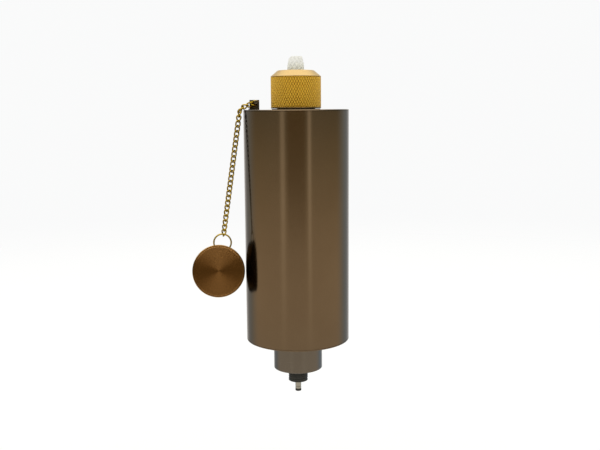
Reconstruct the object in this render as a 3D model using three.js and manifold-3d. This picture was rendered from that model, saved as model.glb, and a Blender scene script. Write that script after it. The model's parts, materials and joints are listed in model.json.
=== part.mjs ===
// Garden torch head: an oil canister with a screwed wick collar on top, a snuffer cap that
// hangs beside it on a curb chain, and a pole neck with a low-voltage screw coupling below.
// Millimetres, +Z up. The origin is the centre of the neck's underside, where a pole seats.
import * as THREE from 'three';
import { mergeVertices } from 'three/addons/utils/BufferGeometryUtils.js';
import Module from 'manifold-3d';

const wasm = await Module();
wasm.setup();

// ---- Driving dimensions ------------------------------------------------------------
const gap = 0.3;                  // clearance between neighbouring pieces
const roundSteps = 48;            // facets on the large round pieces
const smallSteps = 24;            // facets on the small round pieces

// Canister
const shellDiameter = 88.9;
const shellHeight = 197.4;
const shellWall = 1.2;
const rimRound = 0.8;
const rimRoundSteps = 3;
const plateThickness = 1.5;
const bottomRecess = 9;           // depth of the light ring's pocket under the canister

// Pole neck
const neckDiameter = 42.2;
const neckLength = 26.6;          // shows below the canister
const neckWall = 1.6;
const neckFloorThickness = 2.5;

// Filler neck and wick collar
const fillerDiameter = 34;        // over the thread crests
const fillerBore = 29;
const fillerHeight = 12;          // above the top plate
const fillerSkirt = 7;            // below the top plate
const fillerFlange = 5;           // overhang under the top plate
const fillerFlangeThickness = 1.5;
const fillerThreadPitch = 2.5;
const fillerThreadDepth = 0.7;
const fillerThreadStart = 1.5;    // above the top plate
const threadEnd = 0.5;            // plain length at a thread's free end
const gasketThickness = 0.6;
const gasketInset = 0.6;          // gasket edge inside the collar edge
const collarDiameter = 42.3;
const collarHeight = 31.4;
const collarChamferWidth = 5.95;
const collarChamferHeight = 4.8;
const collarEdge = 0.45;          // chamfer at the foot of the knurl
const collarRoof = 7;             // solid metal above the thread cavity
const sleeveWall = 1.1;
const sleeveLength = 62;
const sleeveFlange = 3;
const sleeveFlangeThickness = 1.2;
const wickDiameter = 14.2;
const wickShowing = 11.8;         // above the collar
const wickTopDiameter = 7.6;
const wickFloorClearance = 4;     // above the tank floor

// Chain and its fixing, placed in a vertical plane through the canister's axis
const chainAzimuth = 10;          // degrees from the left side towards the front
const linkPitch = 4.2;
const linkWidth = 1.12 * linkPitch;
const linkWire = 1.15;
const linkTwist = 0.212 * linkPitch;  // how far the sides of a link lean out of its plane
const restingLinks = 3;           // lie over the rim
const hangingLinks = 26;          // the first of them turns the rim
const restingSlope = 19;          // degrees below level
const rimTwist = 36;              // each link against the one before it, at the rim
const ringTwist = 45;             // over the chain's lower half
const linkSteps = 14;
const linkSides = 6;
const chainScrewInset = 10.45;    // inwards from the canister's wall
const chainScrewHeight = 6;       // above the shell's rim
const chainScrewDiameter = 1.6;
const chainScrewHead = 3.8;
const chainScrewHeadThickness = 1;
const chainNutThickness = 1;
const tabWidth = 8.1;
const tabHeight = 8.2;
const tabThickness = 1.2;
const tabFoot = 8;
const tabFillet = 1;              // in the bend between leaf and foot
const tabOffset = 0.95;           // its middle is this far outwards of the screw
const rivetDiameter = 2.4;
const rivetHead = 4.4;
const rivetHeadHeight = 0.9;
const rivetOffset = 0.5;          // from the foot's middle, away from the leaf

// Snuffer
const ringDiameter = 14.5;        // to the middle of its wire
const ringWire = 1.3;
const ringAboveCap = 2.1;         // the ring's centre above the cap's rim
const capDiameter = 44.4;
const capDepth = 20;
const capWall = 1.2;
const capEdge = 0.6;              // chamfer round the face
const capLip = 0.3;               // chamfer round the mouth
const capHoleDepth = 3.2;         // ring holes behind the face
const capHoleDiameter = 2.6;
const capHoleReach = 3;           // the drill's travel each side of the skirt
const capYaw = -7;                // face turned outwards from the chain's plane, degrees
const capPitch = 9;               // face looks up, degrees
const capClearance = 0.7;         // between its side and the canister's wall

// Screw coupling and plug
const couplingDiameter = 16.7;
const couplingLength = 12.1;      // below the neck
const couplingPitch = 2.1;
const couplingThreadDepth = 0.75;
const couplingLeadIn = 0.6;       // the free end is this much under the thread's root
const couplingFlangeWidth = 6.15;
const couplingFlangeThickness = 2.5;
const couplingScrewCount = 3;
const couplingScrewDiameter = 2.5;
const couplingScrewHead = 4.6;
const couplingScrewHeadHeight = 1.8;
const plugDiameter = 5.2;
const plugLength = 9.9;           // below the coupling
const plugWall = 0.45;
const plugTip = 1.8;
const plugTipEdge = 0.4;
const plugFlangeDiameter = 9;
const plugFlangeThickness = 1.2;
const contactDiameter = 1.6;
const contactBore = 0.8;
const contactSetback = 0.5;       // inside the plug's tip
const contactTail = 2.5;          // above the plug's flange
const insulatorTail = 1;

// Light ring and its leads
const lensThickness = 2;
const lensSetback = 0.8;          // above the shell's lower edge
const boardThickness = 1.6;
const boardSetback = 1;           // below the neck tube's upper end
const lightRingPlay = 0.7;        // around the neck tube
const ledCount = 12;
const ledSize = 3.5;
const ledHeight = 1.1;
const ledOverlap = 0.5;           // of an LED's block into the board
const leadDiameter = 1.6;
const leadReach = 3;              // past the neck tube
const grommetFlange = 1;
const grommetFlangeThickness = 0.4;
const grommetWall = 0.8;

// ---- Places worked out from them ---------------------------------------------------
const shellRadius = shellDiameter / 2;
const tankRadius = shellRadius - shellWall;
const shellBottom = neckLength;
const shellTop = shellBottom + shellHeight;
const plateTop = shellTop - gap;
const tankFloorBottom = shellBottom + bottomRecess;
const tankFloorTop = tankFloorBottom + plateThickness;
const collarBottom = plateTop + gap + gasketThickness + gap;
const collarTop = collarBottom + collarHeight;
const collarRadius = collarDiameter / 2;
const neckRadius = neckDiameter / 2;
const neckBore = neckRadius - neckWall;
const sleeveBore = wickDiameter / 2 + gap;
const sleeveRadius = sleeveBore + sleeveWall;
const chainScrewRadius = shellRadius - chainScrewInset;
const tabCentreRadius = chainScrewRadius + tabOffset;
const ringToCapAxis = capDiameter / 2 + ringAboveCap;
const couplingFlangeDiameter = couplingDiameter + 2 * couplingFlangeWidth;
const couplingScrewCircle = couplingDiameter + couplingFlangeWidth;
const degree = Math.PI / 180;

// ---- Shapes ------------------------------------------------------------------------

// Shares the vertices that meet and drops triangles that have collapsed to a line.
function weld(geometry) {
  const bare = geometry.clone();
  bare.deleteAttribute('normal');
  bare.deleteAttribute('uv');
  const merged = mergeVertices(bare, 1e-4);
  const index = merged.getIndex().array;
  const kept = [];
  for (let i = 0; i < index.length; i += 3) {
    const [a, b, c] = [index[i], index[i + 1], index[i + 2]];
    if (a !== b && b !== c && c !== a) kept.push(a, b, c);
  }
  merged.setIndex(kept);
  return merged;
}

function toSolid(geometry) {
  const welded = weld(geometry);
  return new wasm.Manifold(new wasm.Mesh({
    numProp: 3,
    vertProperties: new Float32Array(welded.getAttribute('position').array),
    triVerts: new Uint32Array(welded.getIndex().array),
  }));
}

function fromSolid(solid) {
  const { vertProperties, triVerts } = solid.getMesh();
  const geometry = new THREE.BufferGeometry();
  geometry.setAttribute('position', new THREE.BufferAttribute(vertProperties, 3));
  geometry.setIndex(new THREE.BufferAttribute(triVerts, 1));
  return geometry;
}

function cut(geometry, ...tools) {
  const start = toSolid(geometry);
  return fromSolid(tools.reduce((solid, tool) => solid.subtract(toSolid(tool)), start));
}

function join(geometry, ...others) {
  const start = toSolid(geometry);
  return fromSolid(others.reduce((solid, other) => solid.add(toSolid(other)), start));
}

// Turns a closed outline of [radius, height] points about the Z axis.
function turned(outline, steps = roundSteps) {
  const points = outline.map(([radius, height]) => new THREE.Vector2(radius, height));
  if (THREE.ShapeUtils.area(points) < 0) points.reverse();
  points.push(points[0].clone());
  return weld(new THREE.LatheGeometry(points, steps).rotateX(Math.PI / 2));
}

function tube(outer, inner, low, high, steps = roundSteps) {
  return turned([[inner, low], [outer, low], [outer, high], [inner, high]], steps);
}

function rod(radius, low, high, steps = smallSteps) {
  return new THREE.CylinderGeometry(radius, radius, high - low, steps)
    .rotateX(Math.PI / 2).translate(0, 0, (low + high) / 2);
}

// Outline points of a thread drawn as ridges: crest and root radii over a height.
function ridges(crest, root, low, high, pitch) {
  const count = Math.floor((high - low) / pitch);
  const points = [];
  for (let i = 0; i < count; i += 1) {
    const start = low + i * pitch;
    points.push([root, start], [crest, start + 0.45 * pitch], [root, start + 0.9 * pitch]);
  }
  return points;
}

function wire(points, diameter, steps, sides = 8) {
  const section = new THREE.Shape();
  for (let i = 0; i < sides; i += 1) {
    const angle = (2 * Math.PI * i) / sides;
    section[i ? 'lineTo' : 'moveTo'](Math.cos(angle) * diameter / 2, Math.sin(angle) * diameter / 2);
  }
  section.closePath();
  const path = new THREE.CatmullRomCurve3(points.map((point) => new THREE.Vector3(...point)));
  return new THREE.ExtrudeGeometry(section, { steps, extrudePath: path, bevelEnabled: false });
}

// ---- Materials ---------------------------------------------------------------------
const finishes = {
  bronzedSteel: [0x5b4a36, 0.32, 0.95],
  darkSteel: [0x4a4030, 0.4, 0.9],
  brass: [0xb4882c, 0.3, 1],
  chainBrass: [0xb08a30, 0.3, 1],
  snufferBrass: [0x9a6c34, 0.35, 1],
  nickel: [0xb9b6a4, 0.22, 1],
  zincSteel: [0x9a9a96, 0.35, 1],
  blackPlastic: [0x17181a, 0.45, 0],
  blackRubber: [0x141414, 0.8, 0],
  glassFibre: [0xe4e2d6, 0.95, 0],
  opalLens: [0xf2efe4, 0.35, 0],
  boardGreen: [0x1f5a3a, 0.55, 0],
  redInsulation: [0x9c2a22, 0.5, 0],
  blackInsulation: [0x202020, 0.5, 0],
};

function piece(name, geometry, finish) {
  const [color, roughness, metalness] = finishes[finish];
  const material = new THREE.MeshStandardMaterial({ color, roughness, metalness });
  const mesh = new THREE.Mesh(geometry, material);
  mesh.name = name;
  return mesh;
}

// ---- Canister ----------------------------------------------------------------------
function makeCanister() {
  const roundOff = [];
  for (let i = 0; i <= rimRoundSteps; i += 1) {
    const angle = (i / rimRoundSteps) * Math.PI / 2;
    roundOff.push([
      shellRadius - rimRound + rimRound * Math.cos(angle),
      shellTop - rimRound + rimRound * Math.sin(angle),
    ]);
  }
  const shell = turned([
    [tankRadius, shellBottom], [shellRadius, shellBottom], ...roundOff, [tankRadius, shellTop],
  ]);
  const plateRadius = tankRadius - gap;
  const plateBore = fillerDiameter / 2 + gap;
  const topPlate = tube(plateRadius, plateBore, plateTop - plateThickness, plateTop);
  const bottomPlate = rod(plateRadius, tankFloorBottom, tankFloorTop, roundSteps);
  return [
    piece('outer_shell', shell, 'bronzedSteel'),
    piece('top_plate', topPlate, 'bronzedSteel'),
    piece('bottom_plate', bottomPlate, 'bronzedSteel'),
  ];
}

// ---- Filler neck, collar and wick --------------------------------------------------
function makeFillerNeck() {
  const crest = fillerDiameter / 2;
  const root = crest - fillerThreadDepth;
  const bore = fillerBore / 2;
  const flangeTop = plateTop - plateThickness - gap;
  const top = plateTop + fillerHeight;
  return piece('filler_neck', turned([
    [bore, flangeTop - fillerSkirt], [root, flangeTop - fillerSkirt],
    [root, flangeTop - fillerFlangeThickness],
    [crest + fillerFlange, flangeTop - fillerFlangeThickness], [crest + fillerFlange, flangeTop],
    [root, flangeTop],
    ...ridges(crest, root, plateTop + fillerThreadStart, top - threadEnd, fillerThreadPitch),
    [root, top], [bore, top],
  ], smallSteps), 'brass');
}

function makeCollar() {
  const cavity = fillerDiameter / 2 + gap;
  const cavityTop = collarTop - collarRoof;
  const bore = sleeveRadius + gap;
  const topRadius = collarRadius - collarChamferWidth;
  const gasketOuter = collarRadius - gasketInset;
  const collar = turned([
    [cavity, collarBottom], [collarRadius - collarEdge, collarBottom],
    [collarRadius, collarBottom + collarEdge],
    [collarRadius, collarTop - collarChamferHeight], [topRadius, collarTop], [bore, collarTop],
    [bore, cavityTop], [cavity, cavityTop],
  ]);
  const flangeTop = cavityTop - gap;
  const flangeRadius = sleeveRadius + sleeveFlange;
  const sleeve = turned([
    [sleeveBore, collarTop - sleeveLength], [sleeveRadius, collarTop - sleeveLength],
    [sleeveRadius, flangeTop - sleeveFlangeThickness],
    [flangeRadius, flangeTop - sleeveFlangeThickness], [flangeRadius, flangeTop],
    [sleeveRadius, flangeTop],
    [sleeveRadius, collarTop], [sleeveBore, collarTop],
  ], smallSteps);
  const gasket = tube(gasketOuter, cavity, plateTop + gap, collarBottom - gap);
  return [
    piece('wick_collar', collar, 'brass'),
    piece('wick_sleeve', sleeve, 'brass'),
    piece('collar_gasket', gasket, 'blackRubber'),
  ];
}

function makeWick() {
  const radius = wickDiameter / 2;
  const topRadius = wickTopDiameter / 2;
  const tip = collarTop + wickShowing;
  const bottom = tankFloorTop + wickFloorClearance;
  return piece('wick', turned([
    [0, bottom], [radius, bottom], [radius, collarTop + 0.25 * wickShowing],
    [0.9 * radius, collarTop + 0.55 * wickShowing], [0.72 * radius, collarTop + 0.85 * wickShowing],
    [topRadius, tip], [0, tip],
  ], smallSteps), 'glassFibre');
}

// ---- Pole neck, coupling and plug --------------------------------------------------
const lensBottom = shellBottom + lensSetback;
const boardTop = tankFloorBottom - gap - boardSetback;
const leadHeight = (lensBottom + lensThickness + boardTop - boardThickness) / 2;
const grommetHole = leadDiameter / 2 + gap + grommetWall;

function makeNeck() {
  const hole = rod(grommetHole + gap, -shellRadius, shellRadius, 16)
    .rotateY(Math.PI / 2).translate(0, 0, leadHeight);
  const neck = cut(tube(neckRadius, neckBore, 0, tankFloorBottom - gap), hole);
  const floor = cut(
    tube(neckBore - gap, couplingDiameter / 2 + gap, 0, neckFloorThickness),
    ...couplingScrewPlaces().map(([x, y]) => (
      rod(couplingScrewDiameter / 2 + gap, -1, neckFloorThickness + 1, 12).translate(x, y, 0)
    )),
  );
  return [piece('neck_tube', neck, 'bronzedSteel'), piece('neck_floor', floor, 'bronzedSteel')];
}

function couplingScrewPlaces() {
  return Array.from({ length: couplingScrewCount }, (_, i) => {
    const angle = Math.PI / 2 + (2 * Math.PI * i) / couplingScrewCount;
    return [Math.cos(angle) * couplingScrewCircle / 2, Math.sin(angle) * couplingScrewCircle / 2];
  });
}

function makeCoupling() {
  const crest = couplingDiameter / 2;
  const root = crest - couplingThreadDepth;
  const bore = plugDiameter / 2 + gap;
  const flangeBottom = neckFloorThickness + gap;
  const flangeTop = flangeBottom + couplingFlangeThickness;
  const flange = couplingFlangeDiameter / 2;
  const body = turned([
    [bore, -couplingLength], [root - couplingLeadIn, -couplingLength],
    ...ridges(crest, root, -couplingLength + threadEnd, 0, couplingPitch),
    [root, 0], [root, flangeBottom], [flange, flangeBottom], [flange, flangeTop], [bore, flangeTop],
  ], smallSteps);
  const screws = couplingScrewPlaces();
  const coupling = cut(body, ...screws.map(([x, y]) => (
    rod(couplingScrewDiameter / 2 + gap, flangeBottom - 1, flangeTop + 1, 12).translate(x, y, 0)
  )));
  const headBottom = flangeTop + gap;
  const screw = turned([
    [0, gap], [couplingScrewDiameter / 2, gap], [couplingScrewDiameter / 2, headBottom],
    [couplingScrewHead / 2, headBottom],
    [couplingScrewHead / 2, headBottom + 0.6 * couplingScrewHeadHeight],
    [0.6 * couplingScrewHead / 2, headBottom + couplingScrewHeadHeight],
    [0, headBottom + couplingScrewHeadHeight],
  ], 12);
  return [
    piece('screw_coupling', coupling, 'blackPlastic'),
    ...screws.map(([x, y], i) => {
      const mesh = piece(`coupling_screw_${i + 1}`, screw, 'zincSteel');
      mesh.position.set(x, y, 0);
      return mesh;
    }),
  ];
}

const plugFlangeBottom = neckFloorThickness + gap + couplingFlangeThickness + gap;
const plugFlangeTop = plugFlangeBottom + plugFlangeThickness;
const contactTop = plugFlangeTop + contactTail;

function makePlug() {
  const low = -couplingLength - plugLength;
  const outer = plugDiameter / 2;
  const inner = outer - plugWall;
  const contact = contactDiameter / 2;
  const sleeveOuter = inner - gap;
  const sleeveInner = contact + gap;
  const barrelLow = low + plugTip + gap;
  const contactLow = low + contactSetback;
  const barrel = turned([
    [inner, barrelLow], [outer, barrelLow], [outer, plugFlangeBottom],
    [plugFlangeDiameter / 2, plugFlangeBottom], [plugFlangeDiameter / 2, plugFlangeTop],
    [inner, plugFlangeTop],
  ], 16);
  const insulatorTop = plugFlangeTop + insulatorTail;
  const insulator = turned([
    [sleeveInner, low], [outer - plugTipEdge, low], [outer, low + plugTipEdge],
    [outer, low + plugTip], [sleeveOuter, low + plugTip],
    [sleeveOuter, insulatorTop], [sleeveInner, insulatorTop],
  ], 16);
  return [
    piece('plug_barrel', barrel, 'nickel'),
    piece('plug_insulator', insulator, 'blackPlastic'),
    piece('plug_contact', tube(contact, contactBore / 2, contactLow, contactTop, 12), 'brass'),
  ];
}

// ---- Light ring --------------------------------------------------------------------
function makeLight() {
  const inner = neckRadius + lightRingPlay;
  const outer = tankRadius - gap;
  const boardBottom = boardTop - boardThickness;
  const ledCircle = (inner + outer) / 2;
  const leds = Array.from({ length: ledCount }, (_, i) => (
    new THREE.BoxGeometry(ledSize, ledSize, ledHeight + ledOverlap)
      .translate(ledCircle, 0, boardBottom + (ledOverlap - ledHeight) / 2)
      .rotateZ(((i + 0.5) * 2 * Math.PI) / ledCount)
  ));
  const lensTop = lensBottom + lensThickness;
  const reach = neckRadius + leadReach;
  const rise = leadHeight - contactTop;
  const plugSolderRadius = plugFlangeDiameter / 2 - leadDiameter / 2;
  const lead = (side, startX, startZ) => wire([
    [side * startX, 0, startZ], [side * startX, 0, startZ + 0.35 * rise],
    [side * 0.45 * neckBore, 0, startZ + 0.75 * rise], [side * 0.8 * neckBore, 0, leadHeight],
    [side * neckRadius, 0, leadHeight], [side * reach, 0, leadHeight],
  ], leadDiameter, 26);
  const hole = leadDiameter / 2 + gap;
  const flangeOuter = grommetHole + grommetFlange;
  const flangeFace = neckBore - 2 * gap;
  const flangeBack = flangeFace - grommetFlangeThickness;
  const grommet = turned([
    [hole, flangeBack], [flangeOuter, flangeBack], [flangeOuter, flangeFace], [grommetHole, flangeFace],
    [grommetHole, neckRadius + gap], [hole, neckRadius + gap],
  ], 16);
  const grommets = ['right', 'left'].map((side, i) => {
    const mesh = piece(`lead_grommet_${side}`, grommet, 'blackRubber');
    mesh.rotation.y = i ? -Math.PI / 2 : Math.PI / 2;
    mesh.position.z = leadHeight;
    return mesh;
  });
  return [
    piece('led_board', join(tube(outer, inner, boardBottom, boardTop), ...leds), 'boardGreen'),
    piece('light_lens', tube(outer, inner, lensBottom, lensTop), 'opalLens'),
    piece('lead_positive', lead(1, 0, contactTop + gap), 'redInsulation'),
    piece('lead_negative', lead(-1, plugSolderRadius, plugFlangeTop + gap), 'blackInsulation'),
    ...grommets,
  ];
}

// ---- Chain -------------------------------------------------------------------------
// Everything from here is built in a plane whose -X direction points outwards from the
// canister, and the whole group is then turned to the chain's azimuth.
const wireRadius = linkWire / 2;
const linkReach = (linkPitch + linkWire + gap) / 2;      // centre to the middle of the end wire

class LinkCurve extends THREE.Curve {
  getPoint(t, target = new THREE.Vector3()) {
    const angle = 2 * Math.PI * t;
    return target.set(
      (linkWidth / 2 - wireRadius) * Math.sin(angle),
      linkTwist * Math.sin(2 * angle),
      linkReach * Math.cos(angle),
    );
  }
}

// A direction in the chain's plane, from straight down (0) towards outwards (90 degrees).
function along(angle) {
  return new THREE.Vector3(-Math.sin(angle), 0, -Math.cos(angle));
}

const restingAngle = (90 - restingSlope) * degree;
const firstCentre = linkReach - wireRadius - gap - chainScrewDiameter / 2;
const chainStart = new THREE.Vector3(-chainScrewRadius, 0, shellTop + chainScrewHeight);
const rimJoint = chainStart.clone().addScaledVector(
  along(restingAngle),
  firstCentre + linkPitch * (restingLinks - 0.5),
);
const capRadius = capDiameter / 2;
const capOrbit = (shellRadius + capClearance + capRadius) / Math.cos(capYaw * degree);
const ringDrop = ringDiameter / 2 - ringWire / 2 - gap / 2;   // last joint to the ring's centre
const hangLength = linkPitch * (hangingLinks - 1) + ringDrop + ringToCapAxis;

// The first hanging link halves the bend over the rim, so the lean depends on its own end.
function leanOfHangingChain() {
  let lean = 0;
  for (let i = 0; i < 20; i += 1) {
    const rimAngle = (restingAngle + lean) / 2;
    const start = rimJoint.clone().addScaledVector(along(rimAngle), linkPitch);
    lean = Math.asin((capOrbit + start.x) / hangLength);
  }
  return lean;
}
const lean = leanOfHangingChain();

// Each link's turn about its own length, in degrees: face on at the screw, flat on the rim,
// face on again below it after half a turn, and in the lower half slowly back towards the
// ring, whose wire the last link crosses squarely.
function linkRoll(i) {
  const twisted = Math.min(180, Math.max(0, i - restingLinks + 2) * rimTwist);
  const lowerHalf = Math.max(0, (i + 1 - restingLinks) / hangingLinks - 0.5) / 0.5;
  return twisted - ringTwist * lowerHalf;
}

function makeChain() {
  const shape = weld(new THREE.TubeGeometry(new LinkCurve(), linkSteps, wireRadius, linkSides, true));
  const links = [];
  const joint = chainStart.clone().addScaledVector(along(restingAngle), firstCentre - linkPitch / 2);
  for (let i = 0; i < restingLinks + hangingLinks; i += 1) {
    let angle = lean;
    if (i < restingLinks) angle = restingAngle;
    if (i === restingLinks) angle = (restingAngle + lean) / 2;
    const link = piece(`chain_link_${String(i + 1).padStart(2, '0')}`, shape, 'chainBrass');
    link.position.copy(joint).addScaledVector(along(angle), linkPitch / 2);
    link.rotation.set(0, angle, linkRoll(i) * degree);
    links.push(link);
    joint.addScaledVector(along(angle), linkPitch);
  }
  return { links, end: joint };
}

// ---- Chain tab, its screw and rivet ------------------------------------------------
function makeTab() {
  const front = linkTwist + wireRadius + gap;        // leaf's front face behind the first link
  const back = front + tabThickness;
  const bottom = shellTop;
  const outline = new THREE.Shape();
  outline.moveTo(front, bottom);
  outline.lineTo(back + tabFoot, bottom);
  outline.lineTo(back + tabFoot, bottom + tabThickness);
  outline.lineTo(back + tabFillet, bottom + tabThickness);
  outline.lineTo(back, bottom + tabThickness + tabFillet);
  outline.lineTo(back, bottom + tabHeight);
  outline.lineTo(front, bottom + tabHeight);
  outline.closePath();
  const leaf = new THREE.ExtrudeGeometry(outline, { depth: tabWidth, bevelEnabled: false })
    .rotateX(Math.PI / 2).rotateZ(Math.PI / 2)
    .translate(-tabCentreRadius - tabWidth / 2, 0, 0);
  const screwHeight = shellTop + chainScrewHeight;
  const screwHole = rod(chainScrewDiameter / 2 + gap, front - 1, back + 1, 16)
    .rotateX(-Math.PI / 2).translate(-chainScrewRadius, 0, screwHeight);
  const rivetY = back + tabFoot / 2 + rivetOffset;
  const rivetHole = rod(rivetDiameter / 2 + gap, bottom - 1, bottom + tabThickness + 1, 16)
    .translate(-tabCentreRadius, rivetY, 0);
  const headBack = -front;
  const headFront = headBack - chainScrewHeadThickness;
  const headRadius = chainScrewHead / 2;
  const shank = chainScrewDiameter / 2;
  const nut = back + gap;
  const screw = turned([
    [0, headFront], [0.7 * headRadius, headFront], [headRadius, (headFront + headBack) / 2],
    [headRadius, headBack], [shank, headBack], [shank, nut], [2 * shank, nut],
    [2 * shank, nut + chainNutThickness], [0, nut + chainNutThickness],
  ], 16).rotateX(-Math.PI / 2).translate(-chainScrewRadius, 0, screwHeight);
  const head = bottom + tabThickness + gap;
  const rivet = turned([
    [0, bottom + gap], [rivetDiameter / 2, bottom + gap], [rivetDiameter / 2, head],
    [rivetHead / 2, head], [0.6 * rivetHead / 2, head + rivetHeadHeight], [0, head + rivetHeadHeight],
  ], 16).translate(-tabCentreRadius, rivetY, 0);
  return [
    piece('chain_tab', cut(leaf, screwHole, rivetHole), 'darkSteel'),
    piece('chain_screw', screw, 'darkSteel'),
    piece('tab_rivet', rivet, 'darkSteel'),
  ];
}

// ---- Snuffer ring and cap ----------------------------------------------------------
function makeSnuffer(chainEnd) {
  const ringRadius = ringDiameter / 2;
  const skirtMiddle = capRadius - capWall / 2;
  // height above the cap's axis, and half the width, of the chord where the ring meets the skirt
  const squares = skirtMiddle ** 2 + ringToCapAxis ** 2 - ringRadius ** 2;
  const chordHeight = squares / (2 * ringToCapAxis);
  const chordHalf = Math.sqrt(skirtMiddle ** 2 - chordHeight ** 2);
  const ringToChord = ringToCapAxis - chordHeight;

  const cup = turned([
    [0, 0], [capRadius - capEdge, 0], [capRadius, capEdge], [capRadius, capDepth - capLip],
    [capRadius - capLip, capDepth], [capRadius - capWall, capDepth],
    [capRadius - capWall, capWall], [0, capWall],
  ]).rotateX(-Math.PI / 2).translate(0, -capHoleDepth, -chordHeight);
  const holes = [-1, 1].map((side) => (
    rod(capHoleDiameter / 2, -capHoleReach, capHoleReach, 16)
      .rotateY(side * Math.atan2(ringToChord, chordHalf))
      .translate(side * chordHalf, 0, 0)
  ));
  const cap = piece('snuffer_cap', cut(cup, ...holes), 'snufferBrass');
  cap.position.z = -ringToChord;
  cap.rotation.x = -capPitch * degree;

  const ringShape = new THREE.TorusGeometry(ringRadius, ringWire / 2, 6, 32).rotateX(Math.PI / 2);
  const ring = piece('snuffer_ring', weld(ringShape), 'chainBrass');

  const snuffer = new THREE.Group();
  snuffer.add(ring, cap);
  snuffer.position.copy(chainEnd).addScaledVector(along(lean), ringDrop);
  snuffer.rotation.set(0, lean, capYaw * degree);
  return snuffer;
}

// ---- Assembly ----------------------------------------------------------------------
const torch = new THREE.Group();
torch.add(...makeCanister(), makeFillerNeck(), ...makeCollar(), makeWick());
torch.add(...makeNeck(), ...makeCoupling(), ...makePlug(), ...makeLight());

const chainSide = new THREE.Group();
const chain = makeChain();
chainSide.add(...makeTab(), ...chain.links, makeSnuffer(chain.end));
chainSide.rotation.z = chainAzimuth * degree;
torch.add(chainSide);

export default torch;
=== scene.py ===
import json
import math
import random

import bpy
import numpy as np
from mathutils import Matrix, Vector


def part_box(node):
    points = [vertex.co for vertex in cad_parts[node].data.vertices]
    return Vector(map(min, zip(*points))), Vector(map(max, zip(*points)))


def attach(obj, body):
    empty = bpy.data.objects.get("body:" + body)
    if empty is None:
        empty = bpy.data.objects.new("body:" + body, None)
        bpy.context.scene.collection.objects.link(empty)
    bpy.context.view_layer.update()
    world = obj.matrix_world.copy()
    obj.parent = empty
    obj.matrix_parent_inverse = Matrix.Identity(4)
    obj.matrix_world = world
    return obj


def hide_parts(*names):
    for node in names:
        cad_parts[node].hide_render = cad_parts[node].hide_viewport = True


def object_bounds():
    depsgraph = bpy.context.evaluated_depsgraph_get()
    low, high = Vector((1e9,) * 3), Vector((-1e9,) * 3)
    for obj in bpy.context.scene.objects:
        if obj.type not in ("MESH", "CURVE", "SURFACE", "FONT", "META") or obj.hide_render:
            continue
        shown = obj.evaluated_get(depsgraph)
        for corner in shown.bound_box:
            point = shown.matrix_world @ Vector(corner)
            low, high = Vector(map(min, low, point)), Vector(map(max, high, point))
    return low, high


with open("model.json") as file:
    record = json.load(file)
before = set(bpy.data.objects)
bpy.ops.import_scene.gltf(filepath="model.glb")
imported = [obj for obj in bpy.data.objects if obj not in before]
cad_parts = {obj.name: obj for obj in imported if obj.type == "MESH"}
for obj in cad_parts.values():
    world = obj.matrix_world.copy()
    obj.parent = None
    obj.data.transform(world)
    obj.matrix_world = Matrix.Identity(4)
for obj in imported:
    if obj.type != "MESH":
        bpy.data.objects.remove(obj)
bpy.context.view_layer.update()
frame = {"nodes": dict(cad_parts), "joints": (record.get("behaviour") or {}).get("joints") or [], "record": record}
mm = 0.001
print("frame loaded:", len(frame["nodes"]), "nodes")


# camera, level with the canister's rim and looking down at its middle
cameraSettings = {"distance": 0.6812, "height": 0.224, "lookDown": 8.21, "lens": 48.04, "roll": 0.477,
                  "filmWidth": 36, "shift": 0.005}
bpy.ops.object.camera_add(location=(0, -cameraSettings["distance"], cameraSettings["height"]))
camera = bpy.context.object
camera.name = "frontCamera"
camera.data.lens = cameraSettings["lens"]
camera.data.sensor_width = cameraSettings["filmWidth"]
camera.data.shift_x = cameraSettings["shift"]
camera.data.clip_start = 0.01
camera.data.clip_end = 50
tilt = Matrix.Rotation(math.radians(90 - cameraSettings["lookDown"]), 3, "X")
roll = Matrix.Rotation(math.radians(-cameraSettings["roll"]), 3, "Z")
camera.rotation_euler = (tilt @ roll).to_euler()
bpy.context.scene.camera = camera
bpy.context.scene.view_settings.view_transform = "Standard"


# small helpers for modelling
def clearSelection():
    if bpy.context.object and bpy.context.object.mode != "OBJECT":
        bpy.ops.object.mode_set(mode="OBJECT")
    bpy.ops.object.select_all(action="DESELECT")


def pick(piece):
    clearSelection()
    piece.select_set(True)
    bpy.context.view_layer.objects.active = piece


def applyModifiers(piece):
    pick(piece)
    for modifier in list(piece.modifiers):
        bpy.ops.object.modifier_apply(modifier=modifier.name)


def settle(piece, name, smoothAngle=35):
    # the piece's place goes into its mesh, and its object ends at the origin
    pick(piece)
    bpy.ops.object.transform_apply(location=True, rotation=True, scale=True)
    bpy.ops.object.shade_smooth_by_angle(angle=math.radians(smoothAngle))
    flats = piece.modifiers.new("flatNormals", "WEIGHTED_NORMAL")
    flats.weight = 100
    flats.keep_sharp = True
    applyModifiers(piece)
    piece.name = name
    piece.data.name = name
    return piece


def give(piece, material, body, slotName, *nodes):
    piece.data.materials.clear()
    piece.data.materials.append(material)
    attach(piece, body)
    if nodes:
        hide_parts(*nodes)
    return piece


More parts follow.
